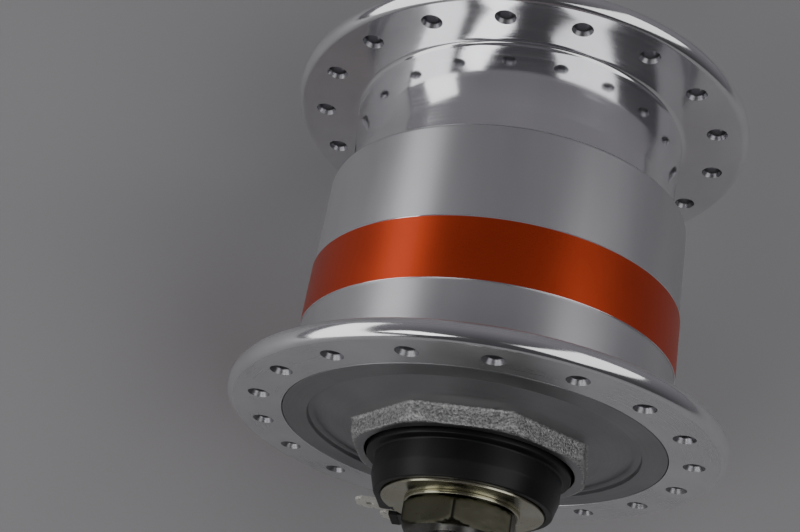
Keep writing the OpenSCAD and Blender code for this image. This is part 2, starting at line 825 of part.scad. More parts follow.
module end_cap() {
    spigot_r = bore_r - 0.1;
    spigot_end = s_bearing_end - 0.4;
    hub_r = db_r + 3.8;
    web_s = cap_rim_t + 0.8;
    lip_r = db_r - 1.6;
    octagon_r = octagon_af / 2 / cos(22.5);
    groove_s = s_bearing_end + circlip_t;
    color([0.66, 0.67, 0.68])
        along_axle()
            difference() {
                union() {
                    turned([
                        [lip_r, -s_bearing], [boss_bore_r, -s_bearing], [boss_bore_r, -plateau_h],
                        [plateau_r, -plateau_h], [plateau_r + 0.35, -0.15], [plateau_r + 0.7, 0],
                        [cap_r - 0.2, 0], [cap_r, 0.2], [cap_r, cap_rim_t], [spigot_r, cap_rim_t],
                        [spigot_r, spigot_end], [spigot_r - 2.2, spigot_end], [spigot_r - 2.2, web_s],
                        [hub_r + 0.8, web_s], [hub_r, web_s + 0.8], [hub_r, s_cap_hub], [db_r, s_cap_hub],
                        [db_r, groove_s], [db_r + circlip_seat, groove_s],
                        [db_r + circlip_seat, s_bearing_end], [db_r, s_bearing_end],
                        [db_r, s_bearing], [lip_r, s_bearing]
                    ]);
                    intersection() {
                        translate([0, 0, -octagon_h])
                            rotate([0, 0, octagon_angle])
                                cylinder(r = octagon_r, h = octagon_h - s_bearing, $fn = 8);
                        turned([
                            [0, 0], [0, -octagon_h], [octagon_af / 2 + 0.1, -octagon_h],
                            [octagon_r + 0.5, -octagon_h + 1.1], [octagon_r + 0.5, 0]
                        ]);
                    }
                }
                translate([0, 0, -octagon_h - cut])
                    cylinder(r = boss_bore_r, h = octagon_h + cut - s_bearing);
            }
}

module cap_gasket() {
    color([0.1, 0.1, 0.1])
        along_axle()
            ring(bore_r + 0.3, cap_r, cap_rim_t, cap_seat_depth);
}

module yoke_ring() {
    color([0.35, 0.36, 0.38])
        along_axle()
            ring(yoke_r, bore_r, s_stator - 1.5, s_stator_end + 1.5);
}

module magnet_segments() {
    step = 360 / magnets;
    color([0.2, 0.2, 0.22])
        along_axle()
            for (k = [0 : magnets - 1])
                sector(magnet_r, yoke_r, s_stator - 0.9, s_stator_end + 0.9,
                       k * step, (k + 1) * step - magnet_gap);
}

module dynamo_outer_race() {
    color([0.72, 0.73, 0.75])
        along_axle()
            difference() {
                ring(db_r - race_t, db_r, s_bearing, s_bearing_end);
                ball_groove(db_pitch_r, (s_bearing + s_bearing_end) / 2);
            }
}

// A thin rubber seal held by the outer race
module bearing_seal(from) {
    color([0.15, 0.1, 0.1])
        along_axle()
            ring(sleeve_r + race_t + 0.25, db_r - race_t, from, from + seal_t);
}

module outer_bearing_seal() {
    bearing_seal(s_bearing);
}

module inner_bearing_seal() {
    bearing_seal(s_bearing_end - seal_t);
}

module bearing_circlip() {
    outer = db_r + circlip_seat - seat_play;
    color([0.4, 0.4, 0.42])
        along_axle()
            sector(outer - circlip_w, outer, s_bearing_end, s_bearing_end + circlip_t,
                   circlip_angle, circlip_angle + 360 - circlip_opening);
}

module far_cup() {
    lip_r = far_pitch_r - 1.8;
    color([0.7, 0.71, 0.73])
        along_axle()
            difference() {
                turned([
                    [lip_r, s_cup], [cup_r, s_cup], [cup_r, s_cup + cup_length],
                    [far_pitch_r + 1.8, s_cup + cup_length], [far_pitch_r + 1.8, s_far_balls],
                    [lip_r, s_far_balls]
                ]);
                ball_groove(far_pitch_r, s_far_balls);
            }
}

module far_dust_cap() {
    from = s_cup + cup_length;
    inner = cone_d / 2 + 0.6;
    color([0.13, 0.13, 0.14])
        along_axle()
            turned([
                [inner, from], [cup_r, from], [cup_r, from + 1], [inner + 1.2, from + 1.1],
                [inner + 0.7, from + 1.6], [inner, from + 1.6]
            ]);
}

// A ring of balls
module ball_ring(pitch_r, s, count) {
    for (k = [0 : count - 1])
        rotate([0, 0, k * 360 / count])
            translate([pitch_r, 0, s])
                sphere(r = ball_r, $fn = 32);
}

module dynamo_balls() {
    color([0.85, 0.86, 0.88])
        along_axle()
            ball_ring(db_pitch_r, (s_bearing + s_bearing_end) / 2, db_balls);
}

module dynamo_ball_cage() {
    middle = (s_bearing + s_bearing_end) / 2;
    pocket_r = ball_r + ball_play;
    color([0.7, 0.6, 0.35])
        along_axle()
            difference() {
                ring(db_pitch_r - cage_t / 2, db_pitch_r + cage_t / 2,
                     middle - db_width * 0.23, s_bearing_end - 2 * seal_t);
                for (k = [0 : db_balls - 1])
                    rotate([0, 0, k * 360 / db_balls])
                        translate([db_pitch_r, 0, middle])
                            sphere(r = pocket_r, $fn = 32);
            }
}

module far_ball_set() {
    color([0.85, 0.86, 0.88])
        along_axle()
            ball_ring(far_pitch_r, s_far_balls, far_balls);
}

// A sheet ring with a finger between every two balls
module far_ball_clip() {
    inner = cone_d / 2 + 0.5;
    from = s_far_balls + ball_r + 0.15;
    color([0.6, 0.6, 0.62])
        along_axle() {
            ring(inner, far_pitch_r + 1.3, from, from + clip_t);
            for (k = [0 : far_balls - 1])
                rotate([0, 0, (k + 0.5) * 360 / far_balls])
                    translate([inner, -clip_finger_w / 2, from - clip_reach])
                        cube([clip_t + 0.4, clip_finger_w, clip_reach + clip_t / 2]);
        }
}

// A washer with radial ridges on the face that grips the fork end, at 0
module serrated_washer() {
    outer = tooth_washer_d / 2;
    side = ridge_depth * sqrt(2);
    from = washer_hole_r + 0.7;
    difference() {
        turned([
            [washer_hole_r, 0], [outer, 0], [outer, tooth_washer_t * 0.45],
            [outer - 0.9, tooth_washer_t * 0.9], [outer - 1.3, tooth_washer_t],
            [washer_hole_r, tooth_washer_t]
        ]);
        for (k = [0 : ridges - 1])
            rotate([0, 0, k * 360 / ridges])
                translate([from, 0, 0])
                    rotate([45, 0, 0])
                        translate([0, -side / 2, -side / 2])
                            cube([outer - from + cut, side, side]);
    }
}

// A hexagon nut with the collar that holds its washer captive
module hub_nut() {
    collar_l = tooth_washer_t - ridge_depth - 0.2;
    difference() {
        union() {
            hex_nut(hub_nut_af, hub_nut_h, seat_r, seat_r, false);
            translate([0, 0, -collar_l - seat_play])
                cylinder(r = collar_r, h = collar_l + seat_play + 0.2);
        }
        translate([0, 0, -tooth_washer_t])
            cylinder(r = nut_bore_r, h = hub_nut_h + tooth_washer_t + cut);
    }
}

module at_far_end() {
    along_axle(s_middle + s_nut_parked)
        children();
}

module at_dynamo_end() {
    along_axle(s_middle - s_nut_parked)
        rotate([180, 0, 0])
            children();
}

module serrated_washer_dynamo() {
    color([0.74, 0.74, 0.7])
        at_dynamo_end()
            serrated_washer();
}

module hub_nut_dynamo() {
    color([0.7, 0.7, 0.66])
        at_dynamo_end()
            translate([0, 0, tooth_washer_t + seat_play])
                hub_nut();
}

module serrated_washer_far() {
    color([0.74, 0.74, 0.7])
        at_far_end()
            serrated_washer();
}

module hub_nut_far() {
    color([0.7, 0.7, 0.66])
        at_far_end()
            translate([0, 0, tooth_washer_t + seat_play])
                hub_nut();
}

axle();
stator_core();
claw_plate_dynamo();
claw_plate_far();
coil_bobbin();
coil_winding();
stator_nut();
bearing_sleeve();
dynamo_inner_race();
connector_ring();
terminal_block();
terminal_blade_live();
terminal_blade_ground();
blade_sleeve();
lead_wires();
cover_plate();
plate_washer();
lock_nut_dynamo();
far_cone();
cone_washer();
lock_nut_far();
hub_shell();
colour_band();
end_cap();
cap_gasket();
yoke_ring();
magnet_segments();
dynamo_outer_race();
outer_bearing_seal();
inner_bearing_seal();
bearing_circlip();
far_cup();
far_dust_cap();
dynamo_balls();
dynamo_ball_cage();
far_ball_set();
far_ball_clip();
serrated_washer_dynamo();
hub_nut_dynamo();
serrated_washer_far();
hub_nut_far();
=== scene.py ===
"""The looks of a bicycle hub dynamo: turned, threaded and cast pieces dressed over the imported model."""
import math

import bmesh
import bpy
import numpy as np
from mathutils import Matrix, Vector


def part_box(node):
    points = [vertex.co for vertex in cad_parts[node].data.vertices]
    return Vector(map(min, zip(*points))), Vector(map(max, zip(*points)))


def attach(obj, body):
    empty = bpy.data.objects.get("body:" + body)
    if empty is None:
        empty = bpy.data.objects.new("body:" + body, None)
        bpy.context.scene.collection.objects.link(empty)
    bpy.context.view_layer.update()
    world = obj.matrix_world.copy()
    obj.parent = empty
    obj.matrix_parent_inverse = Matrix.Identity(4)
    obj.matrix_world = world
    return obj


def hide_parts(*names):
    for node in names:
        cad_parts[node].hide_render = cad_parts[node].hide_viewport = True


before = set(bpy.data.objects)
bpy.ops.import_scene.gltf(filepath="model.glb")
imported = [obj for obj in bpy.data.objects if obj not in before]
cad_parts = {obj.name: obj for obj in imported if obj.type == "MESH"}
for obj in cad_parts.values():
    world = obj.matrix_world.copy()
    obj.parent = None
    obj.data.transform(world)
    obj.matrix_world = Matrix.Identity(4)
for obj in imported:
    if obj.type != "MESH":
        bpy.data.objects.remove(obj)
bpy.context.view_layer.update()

# Sizes here are millimetres. Stations s run along the axle from the dynamo flange's outer face.
MM = 0.001
MICRON = 0.000001
TURN = 2 * math.pi
FINE = 288


def span(node):
    """The lowest and highest corner of a node, in millimetres."""
    low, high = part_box(node)
    return low / MM, high / MM


# How near to a surface a face's middle has to be to belong to it, how sharp polygons' corners are,
# and from which angle on an edge is shaded as a real one
NEAR = 0.01
CORNER_SHARPNESS = 9
EDGE_ANGLE = math.radians(32)

# The shell. The model's rims are beads that stand a little proud of the flanges' faces. These are flush.
FLANGE_T = 3.2
BEAD_R = 2.0
BEAD_PROUD = BEAD_R - FLANGE_T / 2
RIM_DEPTH = 1.2
SHELL_LOW, SHELL_HIGH = span("hub_shell")
FACE = SHELL_LOW.y + BEAD_PROUD
FLANGE_R = SHELL_HIGH.z
BAND_LOW, BAND_HIGH = span("colour_band")
BAND_R = BAND_HIGH.z
BARREL_R = 30.8
BARREL_END = 40.8
BORE_R = 28.2
NECK_R = 28.2
NECK_BORE_R = 25.5
FLANGE_REACH = 57.7
FAR_FACE = FLANGE_REACH + FLANGE_T
BOSS_R = 16.0
BOSS_END = SHELL_HIGH.y - FACE
CUP_R = 12.5
CUP_START = span("far_cup")[0].y - FACE
SPOKE_CIRCLE_R = 35.0
SPOKE_HOLES = 18
SPOKE_HOLE_R = 1.3
SINK_R = 1.7
HOLE_ANGLE = math.radians(183.7)

# The end cap
CAP_R = 31.0
CAP_SEAT_R = 31.1
CAP_RIM_T = 2.2
CAP_SEAT_DEPTH = 2.8
PLATEAU_H = 0.95
MOAT_R = 27.0
MOAT_DEPTH = 1.05
OCTAGON_AF = 36.7
OCTAGON_H = 3.9
OCTAGON_ANGLE = math.radians(7.2)
BOSS_BORE_R = 16.85

# The connector end
RING_R = 16.4
RING_WALL_R = 15.0
RING_LIP_R = 14.2
RING_MOUTH_R = 13.2
RING_REACH = 10.6
WEB = 10.4
BLADE_ANGLE = math.radians(166)
BLADE_FACE = -10.0
BLADE_T = 0.5
BLADE_W = 4.8
LIVE_V = -7.7
GROUND_V = -13.5
LEG_END = -6.0
TUBE_R = 9.15
THREAD_R = 4.42
THREAD_PITCH = 1.0
SEAT_R = 4.5
SEAT_LENGTH = 7.0
NUT_AF = 17.0
NUT_ANGLE = math.radians(14)
NUT_BORE_R = 4.45
HUB_NUT_AF = 15.0
RIDGES = 28
WASHER_T = 2.6
SEAT_PLAY = 0.02


def polar(r, a, s):
    """A place by radius, angle round the axle and station, in metres of the shared frame."""
    return np.stack([r * np.cos(a) * MM, (s + FACE) * MM + 0 * r, -r * np.sin(a) * MM], -1)


def rounded(points, steps):
    """A closed outline whose corners (r, s, radius) are rounded, with the others left as they are."""
    made = []
    count = len(points)
    for i, point in enumerate(points):
        if len(point) == 2:
            made.append(point)
            continue
        corner = np.array(point[:2], float)
        before = np.array(points[i - 1][:2], float) - corner
        after = np.array(points[(i + 1) % count][:2], float) - corner
        before_length, after_length = np.hypot(*before), np.hypot(*after)
        half = math.acos(np.clip(before @ after / before_length / after_length, -1, 1)) / 2
        reach = min(point[2] / math.tan(half), before_length * 0.49, after_length * 0.49)
        start, end = corner + before / before_length * reach, corner + after / after_length * reach
        for k in range(steps + 1):
            t = k / steps
            made.append(tuple((1 - t) ** 2 * start + 2 * t * (1 - t) * corner + t ** 2 * end))
    return made


def new_object(name, vertices, faces):
    """An object in the scene, from places and from faces that count them."""
    mesh = bpy.data.meshes.new(name)
    mesh.from_pydata([tuple(v) for v in vertices], [], faces)
    mesh.update()
    made = bpy.data.objects.new(name, mesh)
    bpy.context.scene.collection.objects.link(made)
    return made


def grid_object(name, places, closed):
    """An object from a grid of places, profile rows by columns round the axle."""
    rows, columns = places.shape[:2]
    last = rows if closed else rows - 1
    faces = []
    for i in range(last):
        j = (i + 1) % rows
        for k in range(columns):
            m = (k + 1) % columns
            faces.append((i * columns + k, i * columns + m, j * columns + m, j * columns + k))
    vertices = places.reshape(-1, 3)
    if not closed:
        poles = [places[0].mean(0), places[-1].mean(0)]
        first_pole = len(vertices)
        vertices = np.vstack([vertices, poles])
        end = (rows - 1) * columns
        for k in range(columns):
            m = (k + 1) % columns
            faces.append((first_pole, m, k))
            faces.append((first_pole + 1, end + k, end + m))
    made = new_object(name, vertices, faces)
    face_outward(made)
    return made


def face_outward(piece):
    """Turns a closed piece's faces outward."""
    work = bmesh.new()
    work.from_mesh(piece.data)
    bmesh.ops.recalc_face_normals(work, faces=work.faces)
    if work.calc_volume(signed=True) < 0:
        bmesh.ops.reverse_faces(work, faces=work.faces)
    work.to_mesh(piece.data)
    work.free()


def lathe(name, outline, columns=FINE, start=0.0, closed=True):
    """A turned piece. An outline point's radius or station may be a function of the angle."""
    angles = start + np.arange(columns) * TURN / columns
    rows = []
    for r, s in outline:
        radius = r(angles) if callable(r) else np.full(columns, float(r))
        station = s(angles) if callable(s) else np.full(columns, float(s))
        rows.append(polar(radius, angles, station))
    return grid_object(name, np.array(rows), closed)


def soft_least(values, sharpness):
    """The least of some arrays, with its corners rounded off."""
    stack = np.array(values)
    floor = stack.min(0)
    return floor - np.log(np.exp(-(stack - floor) * sharpness).sum(0)) / sharpness


def many_sided(angles, sides, apothem, corner_at):
    """The radius of a polygon with softened corners, at each angle."""
    flats = [corner_at + (k + 0.5) * TURN / sides for k in range(sides)]
    near = [np.cos(angles - flat) for flat in flats]
    reaches = [np.where(c > 0.2, apothem / np.maximum(c, 0.2), 9 * apothem) for c in near]
    return soft_least(reaches, CORNER_SHARPNESS)


def smooth(piece):
    """Smooth shading that keeps the real edges and holds flat faces flat."""
    mesh = piece.data
    mesh.shade_smooth()
    mesh.set_sharp_from_angle(angle=EDGE_ANGLE)
    weighted = piece.modifiers.new("even_shading", "WEIGHTED_NORMAL")
    weighted.mode = "FACE_AREA_WITH_ANGLE"
    weighted.keep_sharp = True
    return piece


def combined(piece, others, operation):
    """Puts other closed pieces and one together by a boolean operation, and removes the others."""
    for other in others:
        step = piece.modifiers.new("combined", "BOOLEAN")
        step.operation = operation
        step.solver = "EXACT"
        step.object = other
    return settle(piece, others)


def carve(piece, cutters):
    return combined(piece, cutters, "DIFFERENCE")


def join(piece, other):
    return combined(piece, [other], "UNION")


def settle(piece, helpers=()):
    """Makes a piece's modifiers part of its mesh, and removes the pieces that they used."""
    bpy.context.view_layer.update()
    graph = bpy.context.evaluated_depsgraph_get()
    carved = bpy.data.meshes.new_from_object(piece.evaluated_get(graph))
    old = piece.data
    piece.modifiers.clear()
    piece.data = carved
    bpy.data.meshes.remove(old)
    for helper in helpers:
        bpy.data.objects.remove(helper)
    return piece


def joined(name, parts):
    """One object from several, which are removed."""
    work = bmesh.new()
    for part in parts:
        work.from_mesh(part.data)
        bpy.data.objects.remove(part)
    mesh = bpy.data.meshes.new(name)
    work.to_mesh(mesh)
    work.free()
    made = bpy.data.objects.new(name, mesh)
    bpy.context.scene.collection.objects.link(made)
    return made


class Shader:
    """A material's node tree, built a node at a time."""

    def __init__(self, name, colour, metallic, roughness, **sockets):
        self.material = bpy.data.materials.new(name)
        self.material.use_nodes = True
        self.tree = self.material.node_tree
        self.surface = self.tree.nodes["Principled BSDF"]
        self.surface.inputs["Base Color"].default_value = (*colour, 1)
        self.surface.inputs["Metallic"].default_value = metallic
        self.surface.inputs["Roughness"].default_value = roughness
        for socket, value in sockets.items():
            self.surface.inputs[socket.replace("_", " ")].default_value = value
        self.place = self.node("ShaderNodeTexCoord").outputs["Object"]

    def node(self, kind, **settings):
        made = self.tree.nodes.new(kind)
        for key, value in settings.items():
            setattr(made, key, value)
        return made

    def link(self, source, target):
        self.tree.links.new(source, target)

    def math(self, operation, first, second=None):
        made = self.node("ShaderNodeMath", operation=operation)
        for socket, value in zip(made.inputs, (first, second)):
            if value is None:
                continue
            if isinstance(value, (int, float)):
                socket.default_value = value
            else:
                self.link(value, socket)
        return made.outputs[0]

    def noise(self, vector, scale, detail=3.0, roughness=0.5):
        made = self.node("ShaderNodeTexNoise")
        made.inputs["Scale"].default_value = scale
        made.inputs["Detail"].default_value = detail
        made.inputs["Roughness"].default_value = roughness
        self.link(vector, made.inputs["Vector"])
        return made.outputs["Fac"]

    def ramp(self, value, low, high, from_low=0.3, from_high=0.7):
        made = self.node("ShaderNodeMapRange")
        made.inputs["From Min"].default_value = from_low
        made.inputs["From Max"].default_value = from_high
        made.inputs["To Min"].default_value = low
        made.inputs["To Max"].default_value = high
        self.link(value, made.inputs["Value"])
        return made.outputs["Result"]

    def turned_place(self, around):
        """A place that changes little round the axle, so that noise over it makes turning lines."""
        split = self.node("ShaderNodeSeparateXYZ")
        self.link(self.place, split.inputs[0])
        x, y, z = split.outputs
        squares = self.math("ADD", self.math("MULTIPLY", x, x), self.math("MULTIPLY", z, z))
        radius = self.math("SQRT", squares)
        joined_up = self.node("ShaderNodeCombineXYZ")
        self.link(radius, joined_up.inputs[0])
        self.link(y, joined_up.inputs[1])
        self.link(self.math("MULTIPLY", self.math("ARCTAN2", z, x), around), joined_up.inputs[2])
        return joined_up.outputs[0]

    def colours(self, value, low, high):
        mix = self.node("ShaderNodeMix", data_type="RGBA")
        mix.inputs["A"].default_value = (*low, 1)
        mix.inputs["B"].default_value = (*high, 1)
        self.link(value, mix.inputs["Factor"])
        self.link(mix.outputs["Result"], self.surface.inputs["Base Color"])

    def roughness(self, value):
        self.link(value, self.surface.inputs["Roughness"])

    def bump(self, height, depth):
        """Bumps of a depth in metres, over those already there."""
        made = self.node("ShaderNodeBump")
        made.inputs["Distance"].default_value = depth
        made.inputs["Strength"].default_value = 1.0
        self.link(height, made.inputs["Height"])
        if self.surface.inputs["Normal"].is_linked:
            self.link(self.surface.inputs["Normal"].links[0].from_socket, made.inputs["Normal"])
        self.link(made.outputs["Normal"], self.surface.inputs["Normal"])


def turned_metal(name, low, high, rough, lines, line_depth, speckle=0.0, line_gloss=0.05, metallic=1.0):
    """Turned metal: lines round the axle, smudges in the gloss and a slight change of tone."""
    made = Shader(name, high, metallic, rough)
    ringed = made.noise(made.turned_place(0.0004), lines, 2.0, 0.6)
    drawn = made.node("ShaderNodeVectorMath", operation="MULTIPLY")
    made.link(made.place, drawn.inputs[0])
    drawn.inputs[1].default_value = (1.0, 0.2, 1.0)
    smudge = made.noise(drawn.outputs[0], 90, 3.0, 0.5)
    made.colours(made.ramp(smudge, 0, 1), low, high)
    uneven = made.math("ADD", made.ramp(smudge, -0.03, 0.03), made.ramp(ringed, -line_gloss, line_gloss))
    made.roughness(made.math("ADD", uneven, rough))
    made.bump(ringed, line_depth)
    if speckle:
        made.bump(made.noise(made.place, 5200, 2.0, 0.7), speckle)
    return made.material


def cast_metal():
    """Sand-blasted die casting."""
    made = Shader("cast_aluminium", (0.62, 0.62, 0.61), 1.0, 0.5)
    grain = made.noise(made.place, 2600, 3.0, 0.65)
    patches = made.noise(made.place, 320, 3.0)
    made.colours(made.ramp(grain, 0, 1, 0.35, 0.65), (0.23, 0.23, 0.23), (0.7, 0.7, 0.69))
    made.roughness(made.math("ADD", made.ramp(grain, 0.4, 0.56), made.ramp(patches, -0.06, 0.06)))
    made.bump(grain, 220 * MICRON)
    made.bump(patches, 180 * MICRON)
    return made.material


def enamel():
    """The orange film round the barrel."""
    made = Shader("orange_enamel", (0.72, 0.08, 0.026), 0.85, 0.33)
    drift = made.noise(made.place, 45, 3.0)
    grain = made.noise(made.place, 7000, 2.0, 0.7)
    made.colours(made.ramp(drift, 0, 1), (0.6, 0.064, 0.02), (0.71, 0.082, 0.027))
    made.roughness(made.math("ADD", made.ramp(grain, 0.28, 0.42), made.ramp(drift, -0.03, 0.03)))
    made.bump(grain, 10 * MICRON)
    return made.material


def moulding(name, low, high, rough, grain_depth):
    """Moulded plastic or rubber with a fine spark-eroded grain."""
    made = Shader(name, high, 0.0, rough, Specular_IOR_Level=0.3)
    cloud = made.noise(made.place, 150, 3.0)
    grain = made.noise(made.place, 3600, 2.0, 0.6)
    made.colours(made.ramp(cloud, 0, 1), low, high)
    made.roughness(made.math("ADD", made.ramp(cloud, -0.06, 0.06), rough))
    made.bump(grain, grain_depth)
    return made.material


def plated(name, low, high, rough, grain=10 * MICRON, metallic=1.0):
    """Zinc plate: a slight drift of tint, handling marks and a faint grain."""
    made = Shader(name, high, metallic, rough)
    tint = made.noise(made.place, 130, 3.0)
    marks = made.noise(made.turned_place(0.003), 900, 3.0, 0.7)
    made.colours(made.ramp(tint, 0, 1), low, high)
    made.roughness(made.math("ADD", made.ramp(marks, -0.05, 0.09), rough))
    made.bump(marks, grain)
    return made.material


def wound(name, low, high, pitch):
    """Layers of enamelled wire, one ridge to a turn, with painted shade darkening the grooves between
    turns.
    """
    made = Shader(name, high, 0.7, 0.3)
    split = made.node("ShaderNodeSeparateXYZ")
    made.link(made.place, split.inputs[0])
    phase = made.math("MULTIPLY", split.outputs[1], math.pi / pitch)
    wave = made.math("ABSOLUTE", made.math("SINE", phase))
    # the colour follows the ridges: painted shade, dark in the grooves between the turns
    made.colours(wave, low, high)
    made.roughness(made.ramp(made.noise(made.place, 400), 0.25, 0.4))
    made.bump(wave, pitch * 0.4)
    return made.material


MATERIALS = {
    "satin": turned_metal(
        "satin_aluminium", (0.54, 0.54, 0.56), (0.61, 0.61, 0.63), 0.33,
        lines=3000, line_depth=0.4 * MICRON, speckle=0.8 * MICRON, line_gloss=0.012, metallic=0.8),
    "polished": turned_metal(
        "polished_aluminium", (0.83, 0.83, 0.85), (0.92, 0.92, 0.94), 0.12,
        lines=3600, line_depth=0.8 * MICRON, line_gloss=0.03),
    "faced": turned_metal(
        "faced_aluminium", (0.78, 0.78, 0.8), (0.88, 0.88, 0.9), 0.3,
        lines=3000, line_depth=0.4 * MICRON, line_gloss=0.03),
    # Spoke-hole walls: a rougher drilled finish, with the colour darkened as painted shade inside the holes
    "drilled_shaded": turned_metal(
        "drilled_aluminium_painted_shade", (0.28, 0.28, 0.3), (0.38, 0.38, 0.4), 0.34,
        lines=3000, line_depth=MICRON),
    "machined": turned_metal(
        "machined_aluminium", (0.31, 0.31, 0.32), (0.39, 0.39, 0.4), 0.38,
        lines=2600, line_depth=10 * MICRON, speckle=6 * MICRON),
    "cast": cast_metal(),
    "enamel": enamel(),
    "black": moulding("black_moulding", (0.006, 0.006, 0.0065), (0.012, 0.012, 0.013), 0.38, 6 * MICRON),
    "rubber": moulding("black_rubber", (0.015, 0.015, 0.015), (0.03, 0.03, 0.03), 0.62, 20 * MICRON),
    "nylon": moulding("natural_nylon", (0.62, 0.58, 0.47), (0.72, 0.68, 0.58), 0.45, 10 * MICRON),
    "ferrite": moulding("dark_ferrite", (0.03, 0.03, 0.032), (0.055, 0.055, 0.06), 0.55, 30 * MICRON),
    "jacket": moulding("red_jacket", (0.36, 0.02, 0.015), (0.48, 0.03, 0.02), 0.35, 6 * MICRON),
    "olive": plated("olive_zinc", (0.4, 0.39, 0.28), (0.56, 0.55, 0.44), 0.2),
    # The lock nuts: the olive plate darkened almost to black, painted shade for their dark faces
    "shaded_olive": plated("olive_zinc_painted_shade", (0.04, 0.039, 0.027), (0.065, 0.064, 0.048), 0.3),
    "zinc": plated("bright_zinc", (0.56, 0.56, 0.53), (0.72, 0.72, 0.69), 0.22),
    "steel": plated("ground_steel", (0.48, 0.48, 0.48), (0.62, 0.62, 0.62), 0.26),
    "race": plated("race_steel", (0.6, 0.61, 0.62), (0.72, 0.73, 0.74), 0.1, 2 * MICRON),
    "spring": plated("spring_steel", (0.16, 0.17, 0.19), (0.24, 0.25, 0.28), 0.28),
    "iron": plated("soft_iron", (0.26, 0.26, 0.27), (0.38, 0.38, 0.39), 0.42, 20 * MICRON),
    "tinned": plated("tinned_brass", (0.74, 0.72, 0.63), (0.82, 0.81, 0.74), 0.28, 2 * MICRON, 0.5),
    "brass": plated("cage_brass", (0.5, 0.36, 0.14), (0.64, 0.48, 0.22), 0.24),
    "copper": wound("copper_winding", (0.2, 0.06, 0.02), (0.72, 0.28, 0.1), 0.5 * MM),
}

# Nodes that keep their own shape take one of the finishes
NODE_FINISH = {
    "stator_core": "iron", "claw_plate_dynamo": "iron", "claw_plate_far": "iron", "coil_bobbin": "nylon",
    "coil_winding": "copper", "stator_nut": "zinc", "bearing_sleeve": "zinc", "dynamo_inner_race": "race",
    "terminal_block": "black", "blade_sleeve": "rubber", "lead_wires": "jacket", "cone_washer": "zinc",
    "cap_gasket": "rubber", "yoke_ring": "iron", "magnet_segments": "ferrite", "dynamo_outer_race": "race",
    "outer_bearing_seal": "rubber", "inner_bearing_seal": "rubber", "bearing_circlip": "spring",
    "far_cup": "race", "dynamo_balls": "race", "dynamo_ball_cage": "brass", "far_ball_set": "race",
    "far_ball_clip": "spring",
}


def dress_nodes():
    for node, finish in NODE_FINISH.items():
        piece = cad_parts[node]
        piece.data.materials.clear()
        piece.data.materials.append(MATERIALS[finish])


def dressed(piece, node, body, finishes, choose=None):
    """Gives a piece its finishes and its place on a body, and hides the node that it stands for."""
    for finish in finishes:
        piece.data.materials.append(MATERIALS[finish])
    if choose:
        for face in piece.data.polygons:
            face.material_index = choose(face.center)
    smooth(piece)
    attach(piece, body)
    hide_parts(node)
    return piece


def reach_of(place):
    """A place's station and radius in millimetres."""
    return place.y / MM - FACE, math.hypot(place.x, place.z) / MM


def rim(station):
    """The round rim of a flange, from one of its faces to the other."""
    half, steps = FLANGE_T / 2, 20
    angles = [(k / steps - 0.5) * math.pi for k in range(steps + 1)]
    return [(FLANGE_R - RIM_DEPTH * (1 - math.cos(a)), station + half + half * math.sin(a)) for a in angles]


def spoke_hole_cutter(face, angle):
    """Countersunk holes of one flange, as one object."""
    mouth_r, sink_depth, beyond = SINK_R + 0.06, 0.75, 1
    far = face + FLANGE_T
    outline = rounded([
        (0.0, face - beyond), (SINK_R + beyond, face - beyond), (mouth_r, face - 0.02),
        (SPOKE_HOLE_R, face + sink_depth, 0.6), (SPOKE_HOLE_R, far - sink_depth, 0.6),
        (mouth_r, far + 0.02), (SINK_R + beyond, far + beyond), (0.0, far + beyond)
    ], 6)[1:-1]
    steps = 48
    holes = []
    for k in range(SPOKE_HOLES):
        a = angle + k * TURN / SPOKE_HOLES
        centre = polar(np.float64(SPOKE_CIRCLE_R), a, 0.0)
        turns = np.arange(steps) * TURN / steps
        rows = [np.stack([centre[0] + r * MM * np.cos(turns), np.full(steps, (s + FACE) * MM),
                          centre[2] + r * MM * np.sin(turns)], -1) for r, s in outline]
        holes.append(grid_object("hole", np.array(rows), False))
    return joined("holes", holes)


def neck_outline():
    """The neck, turned slightly hollow and a step larger in its far half."""
    hollow, far_step = 0.32, 0.3
    start, step = BARREL_END + 2.6, 2.5
    points = []
    for k in range(6):
        swell = hollow * math.cos(k * TURN / 10) ** 2 + (far_step if k > 2 else 0)
        points.append((NECK_R + swell, start + k * step))
    return points


